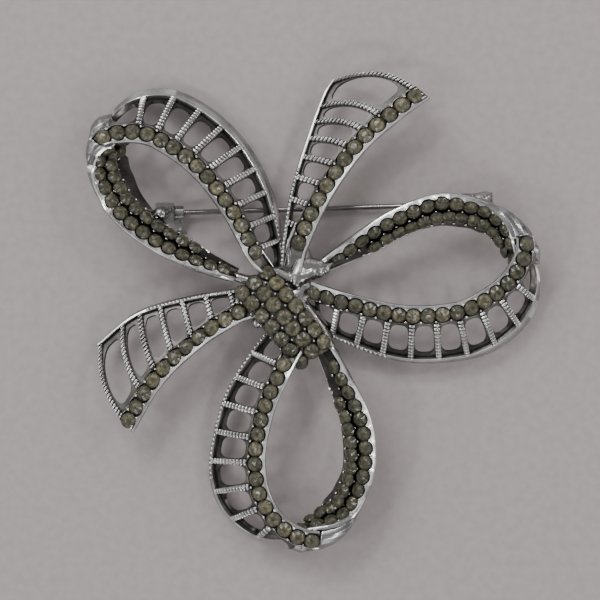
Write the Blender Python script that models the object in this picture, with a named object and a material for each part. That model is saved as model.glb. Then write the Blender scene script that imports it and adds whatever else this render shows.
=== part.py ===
"""Ribbon-bow brooch: three ribbon loops and two tails round a stone-set knot, with a pin,
its hinge and a roll-over safety catch behind.

The brooch lies on its back with the stones facing +Z.  The origin is at the middle of the
footprint, on the surface it rests on.  Dimensions below are in millimetres.
"""
import math

import bmesh
import bpy
from mathutils import Matrix, Vector

MM = 0.001

# ---- casting ---------------------------------------------------------------------------
HALF_WALL = 0.50          # half the thickness of the cast ribbon
RIM = 0.28                # width of the plain rim along a stone row
ROW = 2.02                # width of the channel one stone row sits in
CHANNEL_FLOOR = 0.18      # depth of the channel floor under the middle of the wall
STEP = 0.06               # width taken by the near-vertical side of a channel
INNER_RAIL = 0.60         # rail between the stones and the windows
OUTER_RAIL = 0.75         # rail outside the windows
RUNG = 0.80               # width of the bars between windows
GAP = 0.05                # gap between pieces that are soldered together
SEAT = 0.12               # gap round a stone row in its channel

# ---- stones ----------------------------------------------------------------------------
STONE_R = 0.92            # girdle radius of a chaton
TABLE_R = 0.52            # radius of its flat table
BED_TOP = 0.20            # height of the setting bed over the middle of the wall
TABLE_TOP = 0.72          # height of the table over the middle of the wall

# ---- ribbons ---------------------------------------------------------------------------
# Each station is (x, y) on the front edge, the heading out across the strip in degrees,
# the reach of the back edge along that heading, and the swell of the strip between edges.
LEFT_LOOP = [
    (-6.8, 4.5, 20, 2.6, 0.0), (-8.5, 6.5, 22, 4.2, 0.1), (-11.7, 12.1, 27, 6.1, 0.2),
    (-15.6, 17.0, 39, 7.1, 0.2), (-20.3, 20.3, 64, 7.0, 0.4), (-22.7, 20.9, 84, 5.6, 1.0),
    (-24.8, 20.8, 120, 2.0, 2.8), (-25.8, 20.7, 160, -1.0, 2.9), (-26.8, 20.2, 178, -2.8, 2.7),
    (-27.6, 19.3, 183, -3.8, 2.2), (-28.0, 16.8, 190, -5.0, 1.3), (-26.0, 12.2, 218, -5.0, 0.3),
    (-21.8, 8.4, 232, -4.1, 0.0), (-16.3, 5.5, 243, -3.0, 0.0), (-10.0, 3.6, 249, -1.4, 0.0),
]
RIGHT_LOOP = [
    (-0.8, 3.8, -82, 4.8, 0.0), (4.5, 2.2, -103, 5.7, 0.2), (11.2, 0.8, -93, 6.7, 0.2),
    (17.5, 1.2, -76, 6.9, 0.3), (20.4, 2.5, -62, 6.7, 0.5), (22.8, 4.3, -42, 5.4, 1.0),
    (24.4, 6.5, -17, 2.6, 2.4), (24.9, 8.5, 8, -0.8, 2.7), (24.3, 10.6, 27, -2.4, 2.2),
    (22.9, 12.4, 48, -3.1, 1.5), (20.6, 13.9, 65, -3.8, 0.8), (15.3, 14.7, 95, -4.1, 0.0),
    (9.3, 12.5, 120, -3.5, 0.0), (5.4, 10.0, 127, -2.9, 0.0), (0.6, 6.3, 132, -1.3, 0.0),
]
BOTTOM_LOOP = [
    (-1.5, -5.1, 144, 5.0, 0.0), (-2.8, -7.5, 156, 5.5, 0.2), (-4.9, -12.0, 165, 6.3, 0.2),
    (-6.1, -17.3, 175, 6.7, 0.2), (-6.1, -20.1, 184, 6.9, 0.3), (-5.6, -22.6, 197, 6.4, 0.6),
    (-4.3, -24.9, 216, 4.6, 1.3), (-2.5, -26.5, 240, 1.8, 2.7), (-0.3, -27.3, 262, -0.4, 2.7),
    (1.8, -27.2, 285, -2.2, 2.6), (3.8, -26.4, 303, -3.0, 1.8), (5.4, -25.0, 320, -3.5, 1.0),
    (7.2, -21.0, 345, -4.1, 0.1), (7.6, -17.0, 362, -4.2, 0.0), (6.7, -12.6, 380, -3.9, 0.0),
    (4.4, -8.0, 389, -2.8, 0.0), (2.2, -4.2, 390, -2.0, 0.0),
]
TOP_TAIL = [
    (-1.8, 4.6, 158, 2.8, 0), (-0.9, 7.9, 159, 3.4, 0), (2.0, 14.0, 162, 5.2, 0),
    (6.3, 20.0, 164, 7.5, 0), (11.2, 24.3, 166, 10.6, 0), (14.3, 26.5, 170, 12.4, 0),
]
LEFT_TAIL = [
    (-7.1, -0.7, 104, 3.8, 0), (-9.5, -1.6, 104, 4.5, 0), (-14.1, -4.5, 105, 6.6, 0),
    (-19.1, -9.3, 108, 9.8, 0), (-22.7, -15.2, 111, 12.2, 0),
]
KNOT = [
    (2.1, -4.0, 220, 5.8, 0), (0.3, -1.6, 220, 5.9, 0), (-1.9, 1.1, 220, 5.9, 0),
    (-4.2, 3.8, 220, 5.9, 0), (-6.1, 5.9, 220, 5.8, 0),
]

ROOT_FRONT = 6.4          # height of a loop's front edge where it tucks under the knot
LOOP_FRONT = 7.4          # height of the front edge a little way out
LOOP_BACK = 2.9           # height of the back edge along the openwork half
PAVE_BACK = 3.9           # height of the back edge along the stone-set half

# ---- pin stem, hinge and catch ---------------------------------------------------------
HINGE = Vector((20.3, 13.5, 1.3))    # hinge axis
PIN_TILT = math.radians(1.7)         # slope of the pin against the X axis
PIN_LENGTH = 38.6                    # hinge axis to point
PIN_R = 0.33
EYE_R = 0.85
EYE_HALF = 0.38
RIVET_R = 0.32
HOLE_R = 0.37
EAR_R = 1.30
EAR_IN, EAR_OUT = 0.43, 0.93
PLATE_LOW, PLATE_TOP = 1.35, 1.85    # hinge and catch foot plates, above the pin axis
CATCH_ENDS = (-39.9, -38.1)          # ends of the catch housing, along the pin
CATCH_R, CATCH_BORE = 1.30, 0.93
SLEEVE_ENDS = (-39.8, -36.9)         # ends of the turning sleeve, along the pin
SLEEVE_R, SLEEVE_BORE = 0.88, 0.46
TAB_END = 2.75                       # reach of the thumb tab from the pin axis

# ---- hub -------------------------------------------------------------------------------
HUB = (-3.2, 1.0)                    # middle of the hub under the knot
HUB_SIZE = (5.4, 5.8)
HUB_LOW, HUB_TOP = 1.9, 6.0
NECK = (-1.0, 6.3)                   # solder between the top tail and the right loop
NECK_SIZE = (2.6, 2.9)
NECK_TOP = 5.2

OFFSET = Vector((0.29, 0.15, 0.0))     # brings the middle of the footprint to the origin

for thing in list(bpy.data.objects):
    bpy.data.objects.remove(thing, do_unlink=True)
for name in ("brooch", "cutters"):
    if name not in bpy.data.collections:
        bpy.context.scene.collection.children.link(bpy.data.collections.new(name))


# ---- helpers ---------------------------------------------------------------------------
def material(name, colour, metallic, roughness):
    mat = bpy.data.materials.new(name)
    mat.use_nodes = True
    shader = mat.node_tree.nodes["Principled BSDF"]
    shader.inputs["Base Color"].default_value = (*colour, 1)
    shader.inputs["Metallic"].default_value = metallic
    shader.inputs["Roughness"].default_value = roughness
    mat.diffuse_color = (*colour, 1)
    return mat


PLATE = material("gunmetal plate", (0.34, 0.34, 0.35), 1.0, 0.28)
GLASS = material("smoky rhinestone", (0.09, 0.085, 0.06), 0.0, 0.06)
STEEL = material("nickelled steel", (0.55, 0.54, 0.52), 1.0, 0.25)
SOLDER = material("solder", (0.46, 0.45, 0.44), 1.0, 0.35)


def solid(name, verts, faces, mat=None, collection="brooch"):
    """A closed body from millimetre points and faces, wound outwards."""
    mesh = bpy.data.meshes.new(name)
    mesh.from_pydata([tuple((v + OFFSET) * MM) for v in map(Vector, verts)], [], faces)
    bm = bmesh.new()
    bm.from_mesh(mesh)
    loose = [v for v in bm.verts if not v.link_faces]
    bmesh.ops.delete(bm, geom=loose, context="VERTS")
    bmesh.ops.recalc_face_normals(bm, faces=bm.faces)
    bm.to_mesh(mesh)
    bm.free()
    obj = bpy.data.objects.new(name, mesh)
    bpy.data.collections[collection].objects.link(obj)
    if mat:
        mesh.materials.append(mat)
    if collection == "cutters":
        obj.hide_render = True
        obj.display_type = "WIRE"
    return obj


def boolean(target, other, operation):
    mod = target.modifiers.new(operation.lower(), "BOOLEAN")
    mod.operation = operation
    mod.solver = "EXACT"
    mod.object = other


def smooth(x):
    x = min(max(x, 0.0), 1.0)
    return x * x * (3 - 2 * x)


class Ribbon:
    """A strip between a front edge and a back edge, drawn through hand-placed stations.

    u runs 0 to 1 along the strip, s is the distance in from its front edge and n is the
    height off its middle surface, positive on the outer or upper face.
    """

    def __init__(self, stations, front, back, curl=1.5, hand=-1, bow=0.0, arch=0.0):
        self.rows = [list(map(float, row)) for row in stations]
        self.front, self.back, self.curl = front, back, curl
        self.hand, self.bow, self.arch = hand, bow, arch
        mids = [self._place(row, i / (len(stations) - 1), 0.5)
                for i, row in enumerate(self.rows)]
        along = [0.0]
        for a, b in zip(mids, mids[1:]):
            along.append(along[-1] + (b - a).length)
        self.length = along[-1]
        self.knots = [a / along[-1] for a in along]

    def _row(self, u):
        k = self.knots
        i = max(j for j in range(len(k) - 1) if k[j] <= max(u, 0.0))

        def slope(j, c):
            lo, hi = max(j - 1, 0), min(j + 1, len(k) - 1)
            return (self.rows[hi][c] - self.rows[lo][c]) / (k[hi] - k[lo])

        h = k[i + 1] - k[i]
        t = (u - k[i]) / h
        a, b = 2 * t ** 3 - 3 * t ** 2 + 1, t ** 3 - 2 * t ** 2 + t
        c, d = 3 * t ** 2 - 2 * t ** 3, t ** 3 - t ** 2
        return [a * self.rows[i][m] + b * h * slope(i, m) + c * self.rows[i + 1][m]
                + d * h * slope(i + 1, m) for m in range(5)]

    def _place(self, row, u, v):
        x, y, heading, reach, swell = row
        out = reach * v + 4 * swell * v * (1 - v)
        ahead = self.bow * smooth(1.6 * u - 0.6) * 4 * v * (1 - v) * self.hand
        ca, sa = math.cos(math.radians(heading)), math.sin(math.radians(heading))
        high, low = self.front(u), self.back(u)
        return Vector((x + out * ca + ahead * sa, y + out * sa - ahead * ca,
                       high + (low - high) * v ** self.curl + 4 * self.arch * v * (1 - v)))

    def point(self, u, v):
        return self._place(self._row(u), u, v)

    def normal(self, u, v):
        du = self.point(min(u + 0.002, 1), v) - self.point(max(u - 0.002, 0), v)
        dv = self.point(u, min(v + 0.02, 1)) - self.point(u, max(v - 0.02, 0))
        return du.cross(dv).normalized() * self.hand

    def width(self, u):
        pts = [self.point(u, i / 12) for i in range(13)]
        return sum((b - a).length for a, b in zip(pts, pts[1:]))

    def at(self, u, s, n):
        """The point a distance s across the strip, or a share of its width if negative."""
        steps, last, run = 16, self.point(u, 0), 0.0
        if s < 0:
            s = -s * self.width(u)
        for i in range(1, steps + 1):
            here = self.point(u, i / steps)
            step = (here - last).length
            if run + step >= s or i == steps:
                v = (i - 1 + min((s - run) / step, 1.0)) / steps
                break
            run, last = run + step, here
        return self.point(u, v) + self.normal(u, v) * n


def ring_faces(a, b):
    """Quads between two equal closed runs of vertex numbers."""
    return [(a[i], a[(i + 1) % len(a)], b[(i + 1) % len(a)], b[i]) for i in range(len(a))]


def slab(ribbon, lines, layout, windows=()):
    """Vertices and faces of a strip of wall; `windows` are blocks of cells left open."""
    verts, faces = [], []
    grid = [[], []]
    cols = [layout(u) for u in lines]
    for side in (0, 1):
        for u, col in zip(lines, cols):
            row = []
            for c in col:
                verts.append(ribbon.at(u, c[0], c[1 + side]))
                row.append(len(verts) - 1)
            grid[side].append(row)
    rows, wide = len(lines), len(cols[0])
    open_cells = set()
    for i0, i1, j0, j1 in windows:
        open_cells |= {(i, j) for i in range(i0, i1) for j in range(j0, j1)}
    for i in range(rows - 1):
        for j in range(wide - 1):
            if (i, j) in open_cells:
                continue
            for g in grid:
                faces.append((g[i][j], g[i + 1][j], g[i + 1][j + 1], g[i][j + 1]))
    edge = ([(0, j) for j in range(wide)] + [(i, wide - 1) for i in range(1, rows)]
            + [(rows - 1, j) for j in range(wide - 2, -1, -1)]
            + [(i, 0) for i in range(rows - 2, 0, -1)])
    faces += ring_faces(*[[g[i][j] for i, j in edge] for g in grid])
    for i0, i1, j0, j1 in windows:
        edge = ([(i0, j) for j in range(j0, j1 + 1)] + [(i, j1) for i in range(i0 + 1, i1 + 1)]
                + [(i1, j) for j in range(j1 - 1, j0 - 1, -1)]
                + [(i, j0) for i in range(i1 - 1, i0, -1)])
        ring = []
        for side in (0, 1):
            made = []
            for i, j in edge:
                a = 2 * (i - i0) / (i1 - i0) - 1
                b = 2 * (j - j0) / (j1 - j0) - 1
                fit = 1.0 / (abs(a) ** 4 + abs(b) ** 4) ** 0.25
                fit *= 0.97
                u = lines[i0] + (lines[i1] - lines[i0]) * (a * fit + 1) / 2
                q = layout(u)
                s0, s1 = q[j0][0], q[j1][0]
                verts.append(ribbon.at(u, s0 + (s1 - s0) * (b * fit + 1) / 2, q[j0][1 + side]))
                made.append(len(verts) - 1)
            ring.append(made)
            faces += ring_faces([grid[side][i][j] for i, j in edge], made)
        faces += ring_faces(ring[0], ring[1])
    return verts, faces


def openwork(ribbon, u):
    """Columns across the openwork half: rim, stone channel, rail, windows, rail."""
    w = ribbon.width(u)
    t, f = HALF_WALL, -CHANNEL_FLOOR
    c0, c1 = RIM, RIM + STEP
    c2, c3 = RIM + ROW, RIM + ROW + STEP
    w0 = c3 + INNER_RAIL
    w1 = max(w - OUTER_RAIL, w0 + 0.4)
    third = (w1 - w0) / 3
    fit = min(1.0, w / (w1 + 0.3))
    cols = [(0, t), (c0, t), (c1, f), (c2, f), (c3, t), (w0, t), (w0 + third, t),
            (w1 - third, t), (w1, t)]
    return [(s * fit, n, -t) for s, n in cols] + [(w, t, -t)]


def stone_set(ribbon, u):
    """Columns across the stone-set half, whose two-row channel is on the inner face."""
    w = ribbon.width(u)
    t, f = HALF_WALL, CHANNEL_FLOOR
    c0, c1 = RIM, RIM + STEP
    c2 = min(RIM + 2 * ROW, w - 0.35)
    mid = (c1 + c2) / 2
    c3 = c2 + STEP
    left = (w - c3) / 4
    return [(0, t, -t), (c0, t, -t), (c1, t, f), (mid, t, f), (c2, t, f), (c3, t, -t),
            (c3 + left, t, -t), (c3 + 2 * left, t, -t), (c3 + 3 * left, t, -t), (w, t, -t)]


def plain(cols):
    return [(c[0], HALF_WALL, -HALF_WALL) for c in cols]


def strand(ribbon, places, s, rows=1, face=1, pitch=None, half=ROW / 2 - SEAT):
    """A run of chatons on their bed: one closed body with a faceted bump per stone."""
    verts, faces = [], []
    gap = pitch / 2 if pitch else (places[1] - places[0]) / 2
    cuts = [places[0] - gap] + [(a + b) / 2 for a, b in zip(places, places[1:])]
    cuts.append(places[-1] + gap)
    across = [s + half * (2 * r - rows) for r in range(rows + 1)]
    low = (SEAT - CHANNEL_FLOOR) * face if face > 0 else -0.07
    grid = []
    for n in (BED_TOP * face, low):
        grid.append([])
        for u in cuts:
            row = []
            for c in across:
                verts.append(ribbon.at(u, c, n))
                row.append(len(verts) - 1)
            grid[-1].append(row)
    for i, u in enumerate(places):
        for r in range(rows):
            c = s + half * (2 * r + 1 - rows)
            reach = min(STONE_R, half - 0.01, (cuts[i + 1] - cuts[i]) * ribbon.length)
            stretch = ribbon.at(u + 0.002, c, 0) - ribbon.at(u - 0.002, c, 0)
            per_u = stretch.length / 0.004
            reach_u = min(reach, (cuts[i + 1] - cuts[i]) * per_u / 2 - 0.015)
            rings = []
            for size, n in ((1.0, BED_TOP), (TABLE_R / STONE_R, TABLE_TOP)):
                made = []
                for k in range(8):
                    turn = math.radians(45 * k + 22.5)
                    verts.append(ribbon.at(u + size * reach_u * math.cos(turn) / per_u,
                                           c + size * reach * math.sin(turn), n * face))
                    made.append(len(verts) - 1)
                rings.append(made)
            g = grid[0]
            a, b, d, e = g[i + 1][r + 1], g[i][r + 1], g[i][r], g[i + 1][r]
            k = rings[0]
            faces += [(a, k[1], k[0]), (a, b, k[2], k[1]), (b, k[3], k[2]), (b, d, k[4], k[3]),
                      (d, k[5], k[4]), (d, e, k[6], k[5]), (e, k[7], k[6]), (e, a, k[0], k[7])]
            faces += ring_faces(rings[0], rings[1]) + [tuple(rings[1])]
            g = grid[1]
            faces.append((g[i + 1][r + 1], g[i][r + 1], g[i][r], g[i + 1][r]))
    top, bottom = grid
    n, m = len(cuts), rows + 1
    edge = ([(0, j) for j in range(m)] + [(i, m - 1) for i in range(1, n)]
            + [(n - 1, j) for j in range(m - 2, -1, -1)] + [(i, 0) for i in range(n - 2, 0, -1)])
    faces += ring_faces([top[i][j] for i, j in edge], [bottom[i][j] for i, j in edge])
    return verts, faces


def spaced(start, stop, count):
    return [start + (stop - start) * i / (count - 1) for i in range(count)]


def prism(outer, inner, y0, y1, frame):
    """A plate between two local Y planes, with an optional hole, placed by `frame`."""
    rings = []
    verts = []
    for pts in (outer, inner):
        for y in (y0, y1):
            if pts:
                rings.append([len(verts) + i for i in range(len(pts))])
                verts += [frame @ Vector((x, y, z)) for x, z in pts]
    if inner:
        faces = (ring_faces(rings[0], rings[1]) + ring_faces(rings[2], rings[3])
                 + ring_faces(rings[0], rings[2]) + ring_faces(rings[1], rings[3]))
    else:
        faces = ring_faces(rings[0], rings[1]) + [tuple(rings[0]), tuple(rings[1])]
    return verts, faces


def circle(r, count, x=0.0, z=0.0):
    return [(x + r * math.cos(2 * math.pi * i / count), z + r * math.sin(2 * math.pi * i / count))
            for i in range(count)]


def tube(r_out, r_in, x0, x1, start, stop, steps, frame):
    """A C-shaped sleeve along local X, from angle `start` to `stop` about that axis."""
    verts = []
    for x in (x0, x1):
        for r in (r_out, r_in):
            for i in range(steps + 1):
                a = math.radians(start + (stop - start) * i / steps)
                verts.append(frame @ Vector((x, r * math.cos(a), r * math.sin(a))))
    n = steps + 1
    faces = []
    for i in range(steps):
        a, b = i, i + 1
        faces += [(a, b, b + n, a + n), (a + 2 * n, b + 2 * n, b + 3 * n, a + 3 * n),
                  (a, b, b + 2 * n, a + 2 * n), (a + n, b + n, b + 3 * n, a + 3 * n)]
    for i in (0, steps):
        faces.append((i, i + n, i + 3 * n, i + 2 * n))
    return verts, faces


def dome(centre, rx, ry, z0, z1, turn=0.0, segments=24, levels=4, crown=1.0):
    """A low rounded boss standing on a flat base."""
    verts, faces, rings = [], [], []
    for k in range(levels):
        a = math.pi / 2 * k / levels
        size, z = math.cos(a) ** crown, z0 + (z1 - z0) * math.sin(a)
        ring = []
        for i in range(segments):
            b = 2 * math.pi * i / segments
            p = Vector((rx * size * math.cos(b), ry * size * math.sin(b)))
            p.rotate(Matrix.Rotation(turn, 2))
            ring.append(len(verts))
            verts.append(Vector((centre[0] + p.x, centre[1] + p.y, z)))
        rings.append(ring)
    verts.append(Vector((centre[0], centre[1], z1)))
    for a, b in zip(rings, rings[1:]):
        faces += ring_faces(a, b)
    top = rings[-1]
    faces += [(top[i], top[(i + 1) % segments], len(verts) - 1) for i in range(segments)]
    faces.append(tuple(rings[0]))
    return verts, faces


def box(x0, x1, y0, y1, z0, z1, frame):
    verts = [frame @ Vector((x, y, z)) for x in (x0, x1) for y in (y0, y1) for z in (z0, z1)]
    faces = [(0, 1, 3, 2), (4, 5, 7, 6), (0, 1, 5, 4), (2, 3, 7, 6), (0, 2, 6, 4), (1, 3, 7, 5)]
    return verts, faces


def cover(ribbon, u0, u1, grow, top=0.0, steps=10):
    """The plain envelope of a ribbon, a little larger all round, to trim neighbours with."""
    t = HALF_WALL + grow
    lines = [u0 + (u1 - u0) * i / steps for i in range(steps + 1)]
    return slab(ribbon, lines, lambda u: [(-k / 6, max(t, top), -t) for k in range(7)])


# ---- the ribbons -----------------------------------------------------------------------
def loop_heights(front_tip, back_tip):
    def front(u):
        rise = (LOOP_FRONT - ROOT_FRONT) * smooth(12 * min(u, 1 - u))
        return ROOT_FRONT + rise + (front_tip - LOOP_FRONT) * math.sin(math.pi * u) ** 1.5

    def back(u):
        level = LOOP_BACK + (PAVE_BACK - LOOP_BACK) * smooth((u - 0.45) / 0.25)
        return level + (back_tip - LOOP_BACK) * math.sin(math.pi * min(u / 0.95, 1)) ** 3
    return front, back


left = Ribbon(LEFT_LOOP, *loop_heights(6.8, 2.0))
right = Ribbon(RIGHT_LOOP, *loop_heights(7.0, 2.2))
bottom = Ribbon(BOTTOM_LOOP, *loop_heights(5.9, 0.6))
top_tail = Ribbon(TOP_TAIL, lambda u: 5.2 + 0.8 * math.sin(2.6 * u), lambda u: 4.4 - 1.4 * u,
                  curl=1.2, hand=1, bow=2.3)
left_tail = Ribbon(LEFT_TAIL, lambda u: 5.2 + 0.8 * math.sin(2.6 * u), lambda u: 4.2 - 1.6 * u,
                   curl=1.2, hand=-1, bow=1.7)
knot = Ribbon(KNOT, lambda u: 4.9 + 1.2 * math.sin(math.pi * u),
              lambda u: 4.7 + 1.2 * math.sin(math.pi * u), curl=1.0, hand=1, arch=1.0)
ROWS_ACROSS = 3           # stone rows over the knot
KNOT_ROW = 1.84           # width of each


def along(ribbon, s, start, stop, count):
    """Positions between two ends, evenly spaced in distance along the line s."""
    fine = [start + (stop - start) * i / 80 for i in range(81)]
    pts = [ribbon.at(u, s, 0) for u in fine]
    run = [0.0]
    for a, b in zip(pts, pts[1:]):
        run.append(run[-1] + (b - a).length)
    out, i = [], 0
    for k in range(count):
        want = run[-1] * k / (count - 1)
        while i < 79 and run[i + 1] < want:
            i += 1
        share = min((want - run[i]) / (run[i + 1] - run[i]), 1.0)
        out.append(fine[i] + (fine[i + 1] - fine[i]) * share)
    return out


FRONT_ROW = RIM + STEP / 2 + ROW / 2           # middle of the row beside the front edge
SECOND_ROW = FRONT_ROW + ROW                   # middle of the second row of the stone-set half

# Where the bars, the front row and the two inner rows start and stop along each loop.
LOOPS = {
    "upper_left": dict(ribbon=left, bars=(0.055, 0.44, 9), tip=0.535, turn=0.575,
                       edge=(0.05, 0.545, 17), outer=(0.605, 0.955, 12), inner=(0.61, 0.86, 8)),
    "right": dict(ribbon=right, bars=(0.055, 0.445, 9), tip=0.54, turn=0.573,
                  edge=(0.035, 0.545, 17), outer=(0.60, 0.955, 13), inner=(0.60, 0.875, 9)),
    "bottom": dict(ribbon=bottom, bars=(0.055, 0.43, 8), tip=0.525, turn=0.56,
                   edge=(0.05, 0.535, 15), outer=(0.59, 0.945, 12), inner=(0.59, 0.865, 9)),
}


def loop_body(name, spec):
    """The cast band of one loop: bars and windows first, then the stone-set half."""
    ribbon = spec["ribbon"]
    half = 0.5 * RUNG / ribbon.length
    bars = along(ribbon, 5.0, *spec["bars"])
    lines, windows = [0.0, bars[0] / 2], []
    for a, b in zip(bars, bars[1:] + [spec["tip"] + half]):
        start, stop = a + half, b - half
        lines += [start + (stop - start) * k / 3 for k in range(4)]
        windows.append((len(lines) - 4, len(lines) - 1, 5, 8))
    turn, lead = spec["turn"], 0.35 / ribbon.length
    lines.append(turn - 2 * lead)
    flip = len(lines)
    lines += [turn - lead, turn + lead, turn + 2 * lead]
    start = lines[-1]
    for stop, spacing in ((0.73, 1.2), (1.0, 2.3)):
        steps = round((stop - start) * ribbon.length / spacing)
        lines += [start + (stop - start) * (k + 1) / steps for k in range(steps)]
        start = stop

    def layout(u):
        if u <= lines[flip - 1] + 1e-9:
            return openwork(ribbon, u)
        if u <= turn:
            return plain(openwork(ribbon, u))
        if u < lines[flip + 2] - 1e-9:
            return plain(stone_set(ribbon, u))
        return stone_set(ribbon, u)

    return solid(name, *slab(ribbon, lines, layout, windows), PLATE)


def tail_body(name, ribbon, bars):
    """A tail: stone channel along one edge, windows over the rest."""
    half = 0.5 * RUNG / ribbon.length
    bars = along(ribbon, 4.5, *bars)
    steps = round(bars[0] * ribbon.length / 1.9)
    lines, windows = [bars[0] * k / steps for k in range(steps)], []
    for a, b in zip(bars, bars[1:] + [1 - 0.75 / ribbon.length + half]):
        start, stop = a + half, b - half
        lines += [start + (stop - start) * k / 3 for k in range(4)]
        windows.append((len(lines) - 4, len(lines) - 1, 5, 8))
    lines.append(1.0)
    return solid(name, *slab(ribbon, lines, lambda u: openwork(ribbon, u), windows), PLATE)


def knot_body(name):
    def layout(u):
        w = knot.width(u)
        edge = (w - ROWS_ACROSS * KNOT_ROW) / 2
        t, f = 0.45, -CHANNEL_FLOOR
        inner = [edge + (w - 2 * edge) * k / 4 for k in range(5)]
        cols = [(0, t, -t), (edge - STEP, t, -t)]
        cols += [(c, f, -t) for c in inner]
        return cols + [(w - edge + STEP, t, -t), (w, t, -t)]

    lines = [k / 10 for k in range(11)]
    return solid(name, *slab(knot, lines, layout), PLATE)


bodies = {}
cuts = {}
for key, spec in LOOPS.items():
    bodies[key] = loop_body(key + "_loop", spec)
    rb = spec["ribbon"]
    solid(key + "_front_stones",
          *strand(rb, along(rb, FRONT_ROW, *spec["edge"]), FRONT_ROW), GLASS)
    solid(key + "_pave_outer_row",
          *strand(rb, along(rb, FRONT_ROW, *spec["outer"]), FRONT_ROW, face=-1), GLASS)
    solid(key + "_pave_inner_row",
          *strand(rb, along(rb, SECOND_ROW, *spec["inner"]), SECOND_ROW - 0.02, face=-1), GLASS)
bodies["top_tail"] = tail_body("top_tail", top_tail, (0.37, 0.80, 5))
bodies["left_tail"] = tail_body("left_tail", left_tail, (0.21, 0.80, 5))
solid("top_tail_stones", *strand(top_tail, along(top_tail, FRONT_ROW, 0.26, 0.95, 11),
                                 FRONT_ROW), GLASS)
solid("left_tail_stones", *strand(left_tail, along(left_tail, FRONT_ROW, 0.12, 0.95, 11),
                                  FRONT_ROW), GLASS)
bodies["knot"] = knot_body("knot_setting")
solid("knot_stones", *strand(knot, along(knot, 2.9, 0.075, 0.925, 7), knot.width(0.5) / 2,
                             rows=ROWS_ACROSS, half=KNOT_ROW / 2 - 0.05), GLASS)


# ---- hub and trimming ------------------------------------------------------------------
hub = solid("hub", *dome(HUB, *HUB_SIZE, HUB_LOW, HUB_TOP, crown=0.6), SOLDER)
boolean(hub, solid("hub_seat", *cover(knot, 0, 1, 2 * GAP, top=3.0), collection="cutters"),
        "DIFFERENCE")
boolean(hub, solid("neck", *dome(NECK, *NECK_SIZE, HUB_LOW, NECK_TOP, crown=0.8),
                   collection="cutters"), "UNION")
hub_cut = solid("hub_cut", *dome(HUB, HUB_SIZE[0] + GAP, HUB_SIZE[1] + GAP, HUB_LOW - GAP,
                                 HUB_TOP + GAP, crown=0.6), collection="cutters")
neck_cut = solid("neck_cut", *dome(NECK, NECK_SIZE[0] + GAP, NECK_SIZE[1] + GAP, HUB_LOW - GAP,
                                   NECK_TOP + GAP, crown=0.8), collection="cutters")
knot_cut = solid("knot_cut", *cover(knot, 0, 1, 2 * GAP, top=1.0), collection="cutters")
for key in ("upper_left", "right", "bottom", "top_tail", "left_tail"):
    boolean(bodies[key], knot_cut, "DIFFERENCE")
    boolean(bodies[key], hub_cut, "DIFFERENCE")
    boolean(bodies[key], neck_cut, "DIFFERENCE")

# ---- hinge, pin and catch --------------------------------------------------------------
# Local X runs along the pin from the catch to the hinge, local Z is towards the stones.
local = Matrix.Translation(HINGE) @ Matrix.Rotation(PIN_TILT, 4, "Z")


def ear_outline(r, top, count=16):
    pts = []
    for i in range(count):
        a = 2 * math.pi * i / count
        c, d = math.cos(a), math.sin(a)
        size = r if d <= 1e-6 else min(r / max(abs(c), 1e-6), top / d)
        pts.append((c * size, d * size))
    return pts


hinge_base = solid("hinge_base", *box(-2.0, 2.0, -1.35, 1.35, PLATE_LOW, PLATE_TOP, local),
                   SOLDER)
for side, name in ((-1, "near_ear"), (1, "far_ear")):
    y0, y1 = sorted((side * EAR_IN, side * EAR_OUT))
    boolean(hinge_base, solid(name, *prism(ear_outline(EAR_R, PLATE_LOW + 0.2),
                                           circle(HOLE_R, 16), y0, y1, local),
                              collection="cutters"), "UNION")

rivet = solid("hinge_rivet", *prism(circle(RIVET_R, 16), None, -1.12, 1.12, local), STEEL)
for side, name in ((-1, "near_head"), (1, "far_head")):
    y0, y1 = sorted((side * (EAR_OUT + GAP), side * 1.28))
    boolean(rivet, solid(name, *prism(circle(0.62, 16), None, y0, y1, local),
                         collection="cutters"), "UNION")

pin = solid("pin_stem", *prism(circle(EYE_R, 20), circle(HOLE_R, 20), -EYE_HALF, EYE_HALF,
                               local), STEEL)
wire_verts, wire_rings = [], []
for x, r in ((-0.56, PIN_R), (-12.0, PIN_R), (-24.0, PIN_R), (3.4 - PIN_LENGTH - 1.1, PIN_R),
             (1.6 - PIN_LENGTH - 1.1, 0.24), (-PIN_LENGTH - 1.1, 0.06)):
    wire_rings.append([len(wire_verts) + i for i in range(12)])
    wire_verts += [local @ Vector((x, y, z)) for y, z in circle(r, 12)]
wire_faces = [tuple(wire_rings[0]), tuple(wire_rings[-1])]
for a, b in zip(wire_rings, wire_rings[1:]):
    wire_faces += ring_faces(a, b)
boolean(pin, solid("wire", wire_verts, wire_faces, collection="cutters"), "UNION")

catch = solid("catch_housing", *tube(CATCH_R, CATCH_BORE, *CATCH_ENDS, -60, 240, 20, local),
              SOLDER)
boolean(catch, solid("catch_foot", *box(CATCH_ENDS[0] - 0.5, CATCH_ENDS[1] - 0.02, -1.3, 1.3,
                                        1.12, PLATE_TOP, local), collection="cutters"), "UNION")

sleeve = solid("safety_sleeve", *tube(SLEEVE_R, SLEEVE_BORE, *SLEEVE_ENDS, -32, 212, 16, local),
               STEEL)
end = SLEEVE_ENDS[1]
boolean(sleeve, solid("tab_stem", *box(end - 0.62, end - 0.02, -TAB_END + 0.1, -0.6, -0.24, 0.24,
                                       local), collection="cutters"), "UNION")
boolean(sleeve, solid("tab_bar", *box(end - 0.95, end + 0.35, -TAB_END, -TAB_END + 0.55, -0.26,
                                      0.26, local), collection="cutters"), "UNION")

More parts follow.
